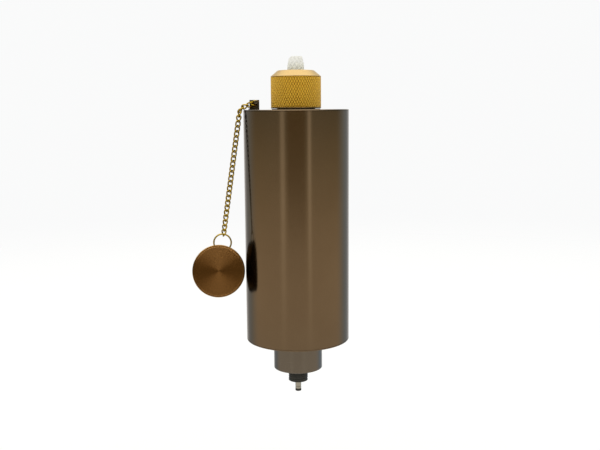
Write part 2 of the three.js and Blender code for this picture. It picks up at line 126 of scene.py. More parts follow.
def turn(name, outline, steps=160):
    # one vertex, extruded round the closed outline of (radius, height), then spun about Z
    clearSelection()
    bpy.ops.mesh.primitive_plane_add(size=mm, location=(0, 0, 0))
    piece = bpy.context.object
    bpy.ops.object.mode_set(mode="EDIT")
    bpy.ops.mesh.select_all(action="SELECT")
    bpy.ops.mesh.merge(type="CENTER")
    here = Vector((0, 0, 0))
    for i, (radius, height) in enumerate(list(outline) + [outline[0]]):
        there = Vector((radius, 0, height))
        if i == 0:
            bpy.ops.transform.translate(value=there - here)
        else:
            bpy.ops.mesh.extrude_region_move(TRANSFORM_OT_translate={"value": there - here})
        here = there
    bpy.ops.mesh.select_all(action="SELECT")
    bpy.ops.mesh.remove_doubles(threshold=1e-6)
    bpy.ops.mesh.select_all(action="SELECT")
    bpy.ops.mesh.spin(steps=steps, angle=2 * math.pi, center=(0, 0, 0), axis=(0, 0, 1))
    bpy.ops.mesh.select_all(action="SELECT")
    bpy.ops.mesh.remove_doubles(threshold=2e-6)
    bpy.ops.mesh.select_all(action="SELECT")
    bpy.ops.mesh.normals_make_consistent(inside=False)
    bpy.ops.object.mode_set(mode="OBJECT")
    return settle(piece, name)


def arc(centreRadius, centreHeight, size, fromAngle, toAngle, steps=5):
    points = []
    for i in range(steps + 1):
        angle = math.radians(fromAngle + (toAngle - fromAngle) * i / steps)
        points.append((centreRadius + size * math.cos(angle), centreHeight + size * math.sin(angle)))
    return points


def cutWith(piece, cutter):
    modifier = piece.modifiers.new("cut", "BOOLEAN")
    modifier.operation = "DIFFERENCE"
    modifier.solver = "EXACT"
    modifier.object = cutter
    applyModifiers(piece)
    pick(cutter)
    bpy.ops.object.delete()
    return piece


def mergedCopy(node, name, bevelWidth):
    # a copy of a CAD node with its loose triangles merged and its edges eased
    source = frame["nodes"][node]
    clearSelection()
    piece = bpy.data.objects.new(name, source.data.copy())
    bpy.context.scene.collection.objects.link(piece)
    pick(piece)
    bpy.ops.object.mode_set(mode="EDIT")
    bpy.ops.mesh.select_all(action="SELECT")
    bpy.ops.mesh.remove_doubles(threshold=1e-6)
    bpy.ops.mesh.select_all(action="SELECT")
    bpy.ops.mesh.dissolve_limited(angle_limit=math.radians(1))
    bpy.ops.object.mode_set(mode="OBJECT")
    bevel = piece.modifiers.new("easedEdges", "BEVEL")
    bevel.width = bevelWidth
    bevel.segments = 2
    bevel.limit_method = "ANGLE"
    bevel.angle_limit = math.radians(40)
    applyModifiers(piece)
    return settle(piece, name)


def curveObject(name, points, thickness, cyclic=False, sides=2):
    # a round wire along points, made a mesh
    data = bpy.data.curves.new(name, "CURVE")
    data.dimensions = "3D"
    spline = data.splines.new("POLY")
    spline.points.add(len(points) - 1)
    for target, point in zip(spline.points, points):
        target.co = (point[0], point[1], point[2], 1)
    spline.use_cyclic_u = cyclic
    data.bevel_depth = thickness / 2
    data.bevel_resolution = sides
    data.use_fill_caps = not cyclic
    piece = bpy.data.objects.new(name, data)
    bpy.context.scene.collection.objects.link(piece)
    pick(piece)
    bpy.ops.object.convert(target="MESH")
    return bpy.context.object


def joinAll(pieces, name):
    clearSelection()
    for piece in pieces:
        piece.select_set(True)
    bpy.context.view_layer.objects.active = pieces[0]
    bpy.ops.object.join()
    return settle(bpy.context.object, name)


# node groups shared by the finishes
def newGroup(name, inputs, outputs):
    group = bpy.data.node_groups.new(name, "ShaderNodeTree")
    for label, kind, value in inputs:
        socket = group.interface.new_socket(name=label, in_out="INPUT", socket_type=kind)
        if value is not None:
            socket.default_value = value
    for label, kind in outputs:
        group.interface.new_socket(name=label, in_out="OUTPUT", socket_type=kind)
    return group, group.nodes.new("NodeGroupInput"), group.nodes.new("NodeGroupOutput")


def mathNode(tree, operation, first, second=None, clamp=False):
    node = tree.nodes.new("ShaderNodeMath")
    node.operation = operation
    node.use_clamp = clamp
    for socket, value in zip(node.inputs, (first, second)):
        if value is None:
            continue
        if isinstance(value, (int, float)):
            socket.default_value = value
        else:
            tree.links.new(value, socket)
    return node.outputs[0]


def makeBrushGroup():
    # fine scratches that run round a turned piece: long along the turn, thin up the axis
    group, entry, leave = newGroup(
        "brushMarks",
        [("Vector", "NodeSocketVector", None), ("Across", "NodeSocketFloat", 9000.0),
         ("Along", "NodeSocketFloat", 60.0), ("Depth", "NodeSocketFloat", 0.1)],
        [("Marks", "NodeSocketFloat"), ("Normal", "NodeSocketVector")])
    split = group.nodes.new("ShaderNodeSeparateXYZ")
    group.links.new(entry.outputs["Vector"], split.inputs[0])
    joinUp = group.nodes.new("ShaderNodeCombineXYZ")
    for axis in (0, 1):
        scaled = mathNode(group, "MULTIPLY", split.outputs[axis], entry.outputs["Along"])
        group.links.new(scaled, joinUp.inputs[axis])
    scaled = mathNode(group, "MULTIPLY", split.outputs[2], entry.outputs["Across"])
    group.links.new(scaled, joinUp.inputs[2])
    noise = group.nodes.new("ShaderNodeTexNoise")
    noise.inputs["Scale"].default_value = 1.0
    noise.inputs["Detail"].default_value = 3.0
    noise.inputs["Roughness"].default_value = 0.65
    group.links.new(joinUp.outputs[0], noise.inputs["Vector"])
    bump = group.nodes.new("ShaderNodeBump")
    bump.inputs["Distance"].default_value = 0.00004
    group.links.new(entry.outputs["Depth"], bump.inputs["Strength"])
    group.links.new(noise.outputs[0], bump.inputs["Height"])
    group.links.new(noise.outputs[0], leave.inputs["Marks"])
    group.links.new(bump.outputs[0], leave.inputs["Normal"])
    return group


def makeToneGroup():
    # slow patches of tone, as on lacquered or handled metal
    group, entry, leave = newGroup(
        "handledTone",
        [("Vector", "NodeSocketVector", None), ("Scale", "NodeSocketFloat", 40.0),
         ("Light", "NodeSocketColor", (1, 1, 1, 1)), ("Dark", "NodeSocketColor", (0, 0, 0, 1)),
         ("Marks", "NodeSocketFloat", 0.5), ("MarkShare", "NodeSocketFloat", 0.3)],
        [("Colour", "NodeSocketColor"), ("Mask", "NodeSocketFloat")])
    noise = group.nodes.new("ShaderNodeTexNoise")
    noise.inputs["Detail"].default_value = 5.0
    group.links.new(entry.outputs["Vector"], noise.inputs["Vector"])
    group.links.new(entry.outputs["Scale"], noise.inputs["Scale"])
    soft = mathNode(group, "MULTIPLY", noise.outputs[0], 0.6)
    marks = mathNode(group, "MULTIPLY", entry.outputs["Marks"], entry.outputs["MarkShare"])
    mask = mathNode(group, "ADD", soft, marks, clamp=True)
    mix = group.nodes.new("ShaderNodeMix")
    mix.data_type = "RGBA"
    group.links.new(mask, mix.inputs["Factor"])
    group.links.new(entry.outputs["Dark"], mix.inputs[6])
    group.links.new(entry.outputs["Light"], mix.inputs[7])
    group.links.new(mix.outputs[2], leave.inputs["Colour"])
    group.links.new(mask, leave.inputs["Mask"])
    return group


def makeGritGroup():
    # fine moulded or cast grain
    group, entry, leave = newGroup(
        "fineGrit",
        [("Vector", "NodeSocketVector", None), ("Scale", "NodeSocketFloat", 2500.0),
         ("Depth", "NodeSocketFloat", 0.15)],
        [("Grain", "NodeSocketFloat"), ("Normal", "NodeSocketVector")])
    noise = group.nodes.new("ShaderNodeTexNoise")
    noise.inputs["Detail"].default_value = 4.0
    group.links.new(entry.outputs["Vector"], noise.inputs["Vector"])
    group.links.new(entry.outputs["Scale"], noise.inputs["Scale"])
    bump = group.nodes.new("ShaderNodeBump")
    bump.inputs["Distance"].default_value = 0.0001
    group.links.new(entry.outputs["Depth"], bump.inputs["Strength"])
    group.links.new(noise.outputs[0], bump.inputs["Height"])
    group.links.new(noise.outputs[0], leave.inputs["Grain"])
    group.links.new(bump.outputs[0], leave.inputs["Normal"])
    return group


brushGroup = makeBrushGroup()
toneGroup = makeToneGroup()
gritGroup = makeGritGroup()


def startMaterial(name):
    material = bpy.data.materials.new(name)
    material.use_nodes = True
    tree = material.node_tree
    shader = tree.nodes["Principled BSDF"]
    where = tree.nodes.new("ShaderNodeTexCoord")
    return material, tree, shader, where.outputs["Object"]


def useGroup(tree, group, vector, **values):
    node = tree.nodes.new("ShaderNodeGroup")
    node.node_tree = group
    tree.links.new(vector, node.inputs["Vector"])
    for label, value in values.items():
        if isinstance(value, bpy.types.NodeSocket):
            tree.links.new(value, node.inputs[label])
        elif isinstance(value, tuple):
            node.inputs[label].default_value = (*value, 1)
        else:
            node.inputs[label].default_value = value
    return node


def setRange(tree, value, low, high):
    node = tree.nodes.new("ShaderNodeMapRange")
    tree.links.new(value, node.inputs["Value"])
    node.inputs["To Min"].default_value = low
    node.inputs["To Max"].default_value = high
    return node.outputs["Result"]


def turnedMetal(name, light, dark, roughness, across=9000, along=60, depth=0.1, drawnOut=0.6,
                markShare=0.35, patch=40, metallic=1.0):
    # metal with fine marks round its axis, and its highlight drawn out across them
    material, tree, shader, where = startMaterial(name)
    marks = useGroup(tree, brushGroup, where, Across=across, Along=along, Depth=depth)
    tone = useGroup(tree, toneGroup, where, Scale=patch, Light=light, Dark=dark,
                    Marks=marks.outputs["Marks"], MarkShare=markShare)
    tree.links.new(tone.outputs["Colour"], shader.inputs["Base Color"])
    tree.links.new(setRange(tree, marks.outputs["Marks"], roughness * 0.75, roughness * 1.25),
                   shader.inputs["Roughness"])
    tree.links.new(marks.outputs["Normal"], shader.inputs["Normal"])
    shader.inputs["Metallic"].default_value = metallic
    shader.inputs["Anisotropic"].default_value = drawnOut
    shader.inputs["Anisotropic Rotation"].default_value = 0.25
    if drawnOut:
        tangent = tree.nodes.new("ShaderNodeTangent")
        tangent.direction_type = "RADIAL"
        tangent.axis = "Z"
        tree.links.new(tangent.outputs[0], shader.inputs["Tangent"])
    return material


def mouldedPlastic(name, light, dark, roughness, scale=1800, depth=0.2):
    material, tree, shader, where = startMaterial(name)
    grit = useGroup(tree, gritGroup, where, Scale=scale, Depth=depth)
    tone = useGroup(tree, toneGroup, where, Scale=120, Light=light, Dark=dark,
                    Marks=grit.outputs["Grain"], MarkShare=0.4)
    tree.links.new(tone.outputs["Colour"], shader.inputs["Base Color"])
    tree.links.new(setRange(tree, grit.outputs["Grain"], roughness * 0.8, roughness * 1.2),
                   shader.inputs["Roughness"])
    tree.links.new(grit.outputs["Normal"], shader.inputs["Normal"])
    return material


bronzedSteel = turnedMetal("bronzedSteel", (0.37, 0.27, 0.17), (0.30, 0.21, 0.125), 0.18,
                           depth=0.004, drawnOut=0.5, markShare=0.1)
lidSteel = turnedMetal("lidSteel", (0.36, 0.27, 0.185), (0.27, 0.20, 0.13), 0.26,
                       across=900, along=900, depth=0.02)
neckSteel = turnedMetal("neckSteel", (0.36, 0.31, 0.255), (0.29, 0.25, 0.2), 0.25,
                        depth=0.004, markShare=0.12)
satinBrass = turnedMetal("satinBrass", (1.0, 0.71, 0.32), (0.94, 0.65, 0.26), 0.40,
                         across=12000, depth=0.04, drawnOut=0.3)
fittingBrass = turnedMetal("fittingBrass", (0.78, 0.55, 0.20), (0.62, 0.42, 0.12), 0.28)
chainBrass = turnedMetal("chainBrass", (0.98, 0.66, 0.07), (0.55, 0.35, 0.02), 0.3,
                         across=900, along=900, drawnOut=0.0, patch=500)
ringBrass = turnedMetal("ringBrass", (0.98, 0.70, 0.07), (0.62, 0.42, 0.03), 0.3,
                        across=900, along=900, drawnOut=0.0, patch=400)
nickel = turnedMetal("nickel", (0.86, 0.84, 0.75), (0.72, 0.70, 0.60), 0.16, across=8000, depth=0.03)
zincSteel = turnedMetal("zincSteel", (0.62, 0.62, 0.6), (0.45, 0.45, 0.44), 0.35, drawnOut=0.2)
darkSteel = turnedMetal("darkSteel", (0.26, 0.21, 0.13), (0.09, 0.07, 0.04), 0.36,
                        across=300, along=6000, drawnOut=0.0)
blackPlastic = mouldedPlastic("blackPlastic", (0.055, 0.053, 0.042), (0.02, 0.02, 0.016), 0.42)
blackRubber = mouldedPlastic("blackRubber", (0.045, 0.045, 0.045), (0.018, 0.018, 0.018), 0.75, scale=3000)
opalLens = mouldedPlastic("opalLens", (0.9, 0.88, 0.82), (0.78, 0.76, 0.7), 0.4, scale=900, depth=0.08)
boardGreen = mouldedPlastic("boardGreen", (0.06, 0.26, 0.14), (0.02, 0.14, 0.07), 0.45, scale=700)
redInsulation = mouldedPlastic("redInsulation", (0.45, 0.05, 0.035), (0.3, 0.03, 0.02), 0.5)
blackInsulation = mouldedPlastic("blackInsulation", (0.04, 0.04, 0.04), (0.015, 0.015, 0.015), 0.5)
print("finishes made")


# canister
canisterSettings = {"rimRound": 0.8, "innerRound": 0.3, "grooveBelowRim": 1.3, "grooveWidth": 0.35,
                    "grooveDepth": 0.16, "wall": 1.2, "footRound": 0.35, "footGroove": 1.1}
lidSettings = {"step": 0.35, "groove": 2.2, "grooveWidth": 1.6, "grooveSlope": 0.4, "neckPlay": 0.3,
               "neckFlange": 5, "floorDish": 0.01, "floorEdge": 2}


def makeWall():
    low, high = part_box("outer_shell")
    radius = high.x
    inner = radius - canisterSettings["wall"] * mm
    rim = canisterSettings["rimRound"] * mm
    innerRim = canisterSettings["innerRound"] * mm
    foot = canisterSettings["footRound"] * mm
    width = canisterSettings["grooveWidth"] * mm
    depth = canisterSettings["grooveDepth"] * mm

    def groove(centre):
        return [(radius, centre - width / 2), (radius - depth, centre - width / 4),
                (radius - depth, centre + width / 4), (radius, centre + width / 2)]

    outline = [(inner, low.z + foot)]
    outline += arc(inner + foot * 0.6, low.z + foot * 0.6, foot * 0.6, 180, 270, 3)
    outline += arc(radius - foot, low.z + foot, foot, 270, 360, 5)
    outline += groove(low.z + canisterSettings["footGroove"] * mm)
    outline += groove(high.z - canisterSettings["grooveBelowRim"] * mm)
    outline += arc(radius - rim, high.z - rim, rim, 0, 90, 6)
    outline += arc(inner + innerRim, high.z - innerRim, innerRim, 90, 180, 3)
    wall = turn("canisterWall", outline, 224)
    give(wall, bronzedSteel, "canister", "bronzed_steel", "outer_shell")


def fillerCrest():
    # the filler neck's flange reaches past its thread
    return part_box("filler_neck")[1].x - lidSettings["neckFlange"] * mm


def makeLid():
    low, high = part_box("top_plate")
    bore = fillerCrest() + lidSettings["neckPlay"] * mm
    step = lidSettings["step"] * mm
    slope = lidSettings["grooveSlope"] * mm
    outside = high.x - lidSettings["groove"] * mm
    inside = outside - lidSettings["grooveWidth"] * mm
    lid = turn("canisterLid", [
        (bore, low.z), (high.x, low.z), (high.x, high.z - step), (high.x - step, high.z),
        (outside, high.z), (outside - slope, high.z - step), (inside + slope, high.z - step),
        (inside, high.z), (bore + step, high.z), (bore, high.z - step)], 160)
    give(lid, lidSteel, "canister", "bronzed_steel", "top_plate")


def makeBase():
    low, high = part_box("bottom_plate")
    floor = turn("canisterFloor", [
        (0, low.z), (high.x * 0.6, low.z),
        (high.x - lidSettings["floorEdge"] * mm, low.z + lidSettings["floorDish"] * mm),
        (high.x, low.z + lidSettings["step"] * mm), (high.x, high.z), (0, high.z)], 96)
    give(floor, lidSteel, "canister", "bronzed_steel", "bottom_plate")


makeWall()
makeLid()
makeBase()
print("canister done")


# collar
collarSettings = {"diamonds": 60, "rows": 6, "cut": 0.48, "groove": 0.34, "land": 0.5, "footRound": 0.5,
                  "chamferInset": 5.95, "chamferDrop": 4.8, "bore": 8.8, "cavity": 17.3, "roof": 7}


def makeKnurlMaterial(crest, root):
    # brass with painted shade in the grooves, which lie nearer the collar's axis than the crests
    material, tree, shader, where = startMaterial("collarBrass")
    tone = useGroup(tree, toneGroup, where, Scale=60, Light=(1.0, 0.62, 0.055), Dark=(0.88, 0.50, 0.035),
                    MarkShare=0.0)
    flat = tree.nodes.new("ShaderNodeVectorMath")
    flat.operation = "MULTIPLY"
    flat.inputs[1].default_value = (1, 1, 0)
    tree.links.new(where, flat.inputs[0])
    radius = tree.nodes.new("ShaderNodeVectorMath")
    radius.operation = "LENGTH"
    tree.links.new(flat.outputs[0], radius.inputs[0])
    # painted shade: the colour darkens from the crests towards the groove floors
    depth = tree.nodes.new("ShaderNodeMapRange")
    tree.links.new(radius.outputs["Value"], depth.inputs["Value"])
    depth.inputs["From Min"].default_value = root
    depth.inputs["From Max"].default_value = crest
    mix = tree.nodes.new("ShaderNodeMix")
    mix.data_type = "RGBA"
    tree.links.new(depth.outputs["Result"], mix.inputs["Factor"])
    # the painted shade colour at the groove floors
    mix.inputs[6].default_value = (0.36, 0.17, 0.012, 1)
    tree.links.new(tone.outputs["Colour"], mix.inputs[7])
    tree.links.new(mix.outputs[2], shader.inputs["Base Color"])
    shader.inputs["Metallic"].default_value = 0.25
    shader.inputs["Roughness"].default_value = 0.4
    return material


def knurlSpan():
    low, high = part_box("wick_collar")
    return low.z + collarSettings["footRound"] * mm, high.z - collarSettings["chamferDrop"] * mm


def moveOutTo(band, radius):
    # panel middles lie inside the round, so they are moved out to it
    for vertex in band.data.vertices:
        out = Vector((vertex.co.x, vertex.co.y, 0))
        vertex.co.xy = (out.normalized() * radius).xy


def makeKnurl():
    # a band of square panels, poked to diamonds, each inset and raised
    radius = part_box("wick_collar")[1].x
    cut = collarSettings["cut"] * mm
    land = collarSettings["land"] * mm
    rows = collarSettings["rows"]
    bottom, top = knurlSpan()
    clearSelection()
    bpy.ops.mesh.primitive_cylinder_add(vertices=collarSettings["diamonds"], radius=radius - cut,
                                        depth=top - bottom - 2 * land, end_fill_type="NOTHING",
                                        location=(0, 0, (top + bottom) / 2))
    band = bpy.context.object
    pick(band)
    bpy.ops.object.transform_apply(location=True)
    bpy.ops.object.mode_set(mode="EDIT")
    for i in range(1, rows):
        height = bottom + land + (top - bottom - 2 * land) * i / rows
        bpy.ops.mesh.select_all(action="SELECT")
        bpy.ops.mesh.bisect(plane_co=(0, 0, height), plane_no=(0, 0, 1))
    bpy.ops.mesh.select_all(action="SELECT")
    bpy.ops.mesh.poke()
    bpy.ops.mesh.select_all(action="SELECT")
    bpy.ops.mesh.tris_convert_to_quads(face_threshold=math.radians(60), shape_threshold=math.radians(180))
    bpy.ops.object.mode_set(mode="OBJECT")
    moveOutTo(band, radius - cut)
    bpy.ops.object.mode_set(mode="EDIT")
    bpy.ops.mesh.select_all(action="SELECT")
    bpy.ops.mesh.normals_make_consistent(inside=False)
    bpy.ops.mesh.inset(thickness=collarSettings["groove"] * mm, depth=cut * 0.85, use_individual=True)
    bpy.ops.object.mode_set(mode="OBJECT")
    settle(band, "collarKnurl", 20)
    collarBrass = makeKnurlMaterial(radius - 0.15 * mm, radius - cut)
    give(band, collarBrass, "collar", "collar_brass", "wick_collar")


def makeCollarBody():
    # body under the knurl, with plain lands, the chamfer and the bore
    low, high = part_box("wick_collar")
    radius = high.x
    land = collarSettings["land"] * mm
    inset = collarSettings["chamferInset"] * mm
    bore = collarSettings["bore"] * mm
    cavity = collarSettings["cavity"] * mm
    roof = high.z - collarSettings["roof"] * mm
    foot = collarSettings["footRound"] * mm
    under = radius - collarSettings["cut"] * mm - 0.1 * mm
    bottom, top = knurlSpan()
    outline = [(cavity, low.z), (radius - foot - 0.1 * mm, low.z)]
    outline += arc(radius - foot, low.z + foot, foot, 280, 360, 4)
    outline += [(radius, bottom + land * 0.8), (under, bottom + land * 1.4)]
    outline += [(under, top - land * 1.4), (radius, top - land * 0.8), (radius, top - 0.15 * mm)]
    outline += [(radius - 0.12 * mm, top), (radius - inset + 0.25 * mm, high.z - 0.22 * mm)]
    outline += [(radius - inset - 0.25 * mm, high.z), (bore + 0.4 * mm, high.z), (bore, high.z - 0.4 * mm)]
    outline += [(bore, roof), (cavity, roof)]
    body = turn("collarBody", outline, 160)
    give(body, satinBrass, "collar", "collar_brass", "wick_collar")


makeKnurl()
makeCollarBody()
print("collar done")


# filler neck, sleeve and gasket
fillerSettings = {"root": 16.3, "bore": 14.5, "pitch": 2.5, "turns": 4, "ridge": 1.1, "firstRidge": 0.9,
                  "flangeBelowLid": 0.3, "flangeThickness": 1.5, "mouthEdge": 0.4, "boreEdge": 0.3}
sleeveSettings = {"play": 0.3, "wall": 1.1, "flangeDrop": 7.3, "flangeThickness": 1.2, "mouthEdge": 0.2,
                  "boreEdge": 0.3, "gasketBulge": 0.2}


def helix(name, radius, pitch, turns, start, thickness, steps=40):
    # a thread's ridge; it sinks into the core at both ends
    points = []
    total = int(turns * steps)
    for i in range(total + 1):
        angle = 2 * math.pi * i / steps
        ease = min(1, i / (steps * 0.12), (total - i) / (steps * 0.12))
        reach = radius - thickness * 0.55 * (1 - ease)
        points.append((reach * math.cos(angle), reach * math.sin(angle), start + pitch * i / steps))
    return curveObject(name, points, thickness, sides=1)


def makeFiller():
    low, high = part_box("filler_neck")
    root = fillerSettings["root"] * mm
    bore = fillerSettings["bore"] * mm
    mouth = fillerSettings["mouthEdge"] * mm
    edge = fillerSettings["boreEdge"] * mm
    plateLow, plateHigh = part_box("top_plate")
    flangeTop = plateLow.z - fillerSettings["flangeBelowLid"] * mm
    flangeLow = flangeTop - fillerSettings["flangeThickness"] * mm
    core = turn("fillerNeck", [
        (bore, low.z), (root, low.z), (root, flangeLow), (high.x, flangeLow),
        (high.x, flangeTop), (root, flangeTop), (root, high.z - mouth), (root - mouth, high.z),
        (bore + edge, high.z), (bore, high.z - edge)], 96)
    thickness = fillerSettings["ridge"] * mm
    ridge = helix("fillerThread", fillerCrest() - thickness / 2, fillerSettings["pitch"] * mm,
                  fillerSettings["turns"], plateHigh.z + fillerSettings["firstRidge"] * mm, thickness)
    neck = joinAll([core, ridge], "fillerNeck")
    give(neck, fittingBrass, "canister", "neck_brass", "filler_neck")


def makeSleeve():
    low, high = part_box("wick_sleeve")
    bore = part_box("wick")[1].x + sleeveSettings["play"] * mm
    outer = bore + sleeveSettings["wall"] * mm
    mouth = sleeveSettings["mouthEdge"] * mm
    edge = sleeveSettings["boreEdge"] * mm
    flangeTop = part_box("wick_collar")[1].z - sleeveSettings["flangeDrop"] * mm
    flangeLow = flangeTop - sleeveSettings["flangeThickness"] * mm
    sleeve = turn("wickSleeve", [
        (bore, low.z), (outer, low.z), (outer, flangeLow), (high.x, flangeLow),
        (high.x, flangeTop), (outer, flangeTop), (outer, high.z - mouth), (outer - mouth, high.z),
        (bore + edge, high.z), (bore, high.z - edge)], 96)
    give(sleeve, fittingBrass, "wick_holder", "neck_brass", "wick_sleeve")


def makeGasket():
    low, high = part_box("collar_gasket")
    bore = collarSettings["cavity"] * mm
    bulge = sleeveSettings["gasketBulge"] * mm
    gasket = turn("collarGasket", [
        (bore, low.z), (high.x - bulge, low.z), (high.x, (low.z + high.z) / 2),
        (high.x - bulge, high.z), (bore, high.z)], 96)
    give(gasket, blackRubber, "wick_holder", "black_rubber", "collar_gasket")


makeFiller()
makeSleeve()
makeGasket()
print("filler neck done")


# wick
wickSettings = {"strands": 11, "strandThickness": 2.5, "lay": 34, "overUnder": 0.1, "braidBelow": 4,
                "coreFill": 0.9, "taper": 0.30, "cutTilt": 42, "cutReach": 3.9, "cutDrop": 0.4,
                "strandEnd": 0.7, "fibres": 90, "fibreThickness": 0.09}


def wickSpan():
    # the collar's top, the wick's tip, and how far out the middles of its strands lie
    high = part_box("wick")[1]
    strand = wickSettings["strandThickness"] * mm
    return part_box("wick_collar")[1].z, high.z, high.x - strand * 0.5


def wickRadius(height, low, high, full):
    # straight inside the sleeve, drawn in towards the cut end
    rise = max(0, (height - low) / (high - low))
    return full * (1 - wickSettings["taper"] * rise ** 1.6)


def makeWickMaterial():
    material, tree, shader, where = startMaterial("glassFibre")
    grit = useGroup(tree, gritGroup, where, Scale=900, Depth=0.08)
    split = tree.nodes.new("ShaderNodeSeparateXYZ")
    tree.links.new(where, split.inputs[0])
    stain = tree.nodes.new("ShaderNodeMapRange")
    tree.links.new(split.outputs[2], stain.inputs["Value"])
    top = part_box("wick_collar")[1].z
    stain.inputs["From Min"].default_value = top - 1 * mm
    stain.inputs["From Max"].default_value = top + 8 * mm
    share = mathNode(tree, "MULTIPLY_ADD", stain.outputs["Result"], 0.65)
    share.node.inputs[2].default_value = 0.1
    tone = useGroup(tree, toneGroup, where, Scale=260, Light=(0.98, 0.965, 0.90), Dark=(0.88, 0.85, 0.64),
                    Marks=share, MarkShare=1.0)
    tree.links.new(tone.outputs["Colour"], shader.inputs["Base Color"])
    tree.links.new(grit.outputs["Normal"], shader.inputs["Normal"])
    shader.inputs["Roughness"].default_value = 0.85
    shader.inputs["Sheen Weight"].default_value = 0.3
    return material


def makeWickCore():
    # fills the braid, from the wick's foot to just under its cut end
    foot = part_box("wick")[0].z
    collarTop, tip, reach = wickSpan()
    start = collarTop - wickSettings["braidBelow"] * mm
    fill = wickSettings["coreFill"] * mm
    heights = [foot, start, collarTop + 1 * mm, collarTop + 4 * mm, collarTop + 7 * mm, tip - 1.2 * mm]
    profile = [(0, foot)] + [(wickRadius(z, collarTop, tip, reach) + fill, z) for z in heights]
    profile += [(wickRadius(tip, collarTop, tip, reach) * 0.75, tip - 0.5 * mm), (0, tip - 0.3 * mm)]
    return turn("wickCore", profile, 48)


def makeStrands(steps=46):
    # strands wound both ways, each going over and under the others
    collarTop, tip, reach = wickSpan()
    start = collarTop - wickSettings["braidBelow"] * mm
    climb = math.tan(math.radians(90 - wickSettings["lay"])) * reach
    count = wickSettings["strands"]
    strands = []
    for turnWay in (-1, 1):
        for k in range(count):
            points = []
            for i in range(steps + 1):
                height = start + (tip - wickSettings["strandEnd"] * mm - start) * i / steps
                angle = turnWay * ((height - start) / climb) + 2 * math.pi * k / count
                wave = math.cos(count * (height - start) / climb + (0 if turnWay > 0 else math.pi))
                radius = wickRadius(height, collarTop, tip, reach) + wave * wickSettings["overUnder"] * mm
                points.append((radius * math.cos(angle), radius * math.sin(angle), height))
            strands.append(curveObject("strand", points, wickSettings["strandThickness"] * mm, sides=2))
    return strands


def snip(braid):
    # cut across one top corner, as scissors leave it
    tip = wickSpan()[1]
    tilt = math.radians(wickSettings["cutTilt"])
    pick(braid)
    bpy.ops.object.mode_set(mode="EDIT")
    bpy.ops.mesh.select_all(action="SELECT")
    bpy.ops.mesh.bisect(plane_co=(-wickSettings["cutReach"] * mm, 0, tip - wickSettings["cutDrop"] * mm),
                        plane_no=(-math.sin(tilt), 0, math.cos(tilt)),
                        clear_outer=True, use_fill=True)
    bpy.ops.mesh.select_all(action="SELECT")
    bpy.ops.mesh.normals_make_consistent(inside=False)
    bpy.ops.object.mode_set(mode="OBJECT")
    settle(braid, "wickBraid", 50)


def makeFibres():
    # loose fibre ends, which stay inside the wick's own width
    collarTop, tip, reach = wickSpan()
    strand = wickSettings["strandThickness"] * mm
    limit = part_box("wick")[1].x * 1.02
    rng = random.Random(7)
    fibres = []
    for _ in range(wickSettings["fibres"]):
        angle = rng.uniform(0, 2 * math.pi)
        rootHeight = collarTop + rng.uniform(1.0, 8.5) * mm
        base = wickRadius(rootHeight, collarTop, tip, reach) + strand * 0.42
        bend = rng.uniform(0.3, 1.0) * mm
        points = []
        for i in range(5):
            share = i / 4
            out = min(base + bend * share * share * 0.7, limit)
            height = min(tip - 0.1 * mm, rootHeight + share * rng.uniform(0.8, 1.3) * 1.6 * mm)
            turned = angle + share * rng.uniform(-0.12, 0.12)
            points.append((out * math.cos(turned), out * math.sin(turned), height))
        if points[-1][0] > -3.2 * mm or rootHeight < collarTop + 5 * mm:
            fibres.append(curveObject("fibre", points, wickSettings["fibreThickness"] * mm, sides=0))
    return joinAll(fibres, "wickFibres")


def makeWick():
    braid = joinAll([makeWickCore()] + makeStrands(), "wickBraid")
    snip(braid)
    loose = makeFibres()
    material = makeWickMaterial()
    give(braid, material, "wick", "glass_fibre", "wick")
    give(loose, material, "wick", "glass_fibre", "wick")


makeWick()
print("wick done")


# neck, coupling and plug
neckSettings = {"wall": 1.6, "round": 0.5, "boreEdge": 0.2, "leadHoleEdge": 0.9, "floorEdge": 0.15}
couplingSettings = {"root": 8.1, "crest": 8.5, "bore": 2.9, "boreEdge": 0.4, "pitch": 2.1, "turns": 5.4,
                    "ridge": 1.5, "firstRidge": 0.6, "endBand": 0.6, "headroom": 0.2, "keptFlange": 3.5,
                    "flangeEdge": 0.1, "screwEdge": 0.08}


def makeNeck():
    low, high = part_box("neck_tube")
    outer = high.x
    inner = outer - neckSettings["wall"] * mm
    edge = neckSettings["round"] * mm
    boreEdge = neckSettings["boreEdge"] * mm
    outline = [(inner, low.z + boreEdge), (inner + boreEdge, low.z)]
    outline += arc(outer - edge, low.z + edge, edge, 270, 360, 5)
    outline += [(outer, high.z), (inner, high.z)]
    tube = turn("neckTube", outline, 144)

    # the holes that the leads' grommets sit in
    grommetLow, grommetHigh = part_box("lead_grommet_right")
    holeRadius = (grommetHigh.z - grommetLow.z) / 2 - neckSettings["leadHoleEdge"] * mm
    clearSelection()
    bpy.ops.mesh.primitive_cylinder_add(vertices=32, radius=holeRadius, depth=3 * outer,
                                        rotation=(0, math.pi / 2, 0),
                                        location=(0, 0, (grommetLow.z + grommetHigh.z) / 2))
    cutWith(tube, bpy.context.object)
    settle(tube, "neckTube")
    give(tube, neckSteel, "canister", "bronzed_steel", "neck_tube")

    floor = mergedCopy("neck_floor", "neckFloor", neckSettings["floorEdge"] * mm)
    give(floor, neckSteel, "canister", "bronzed_steel", "neck_floor")


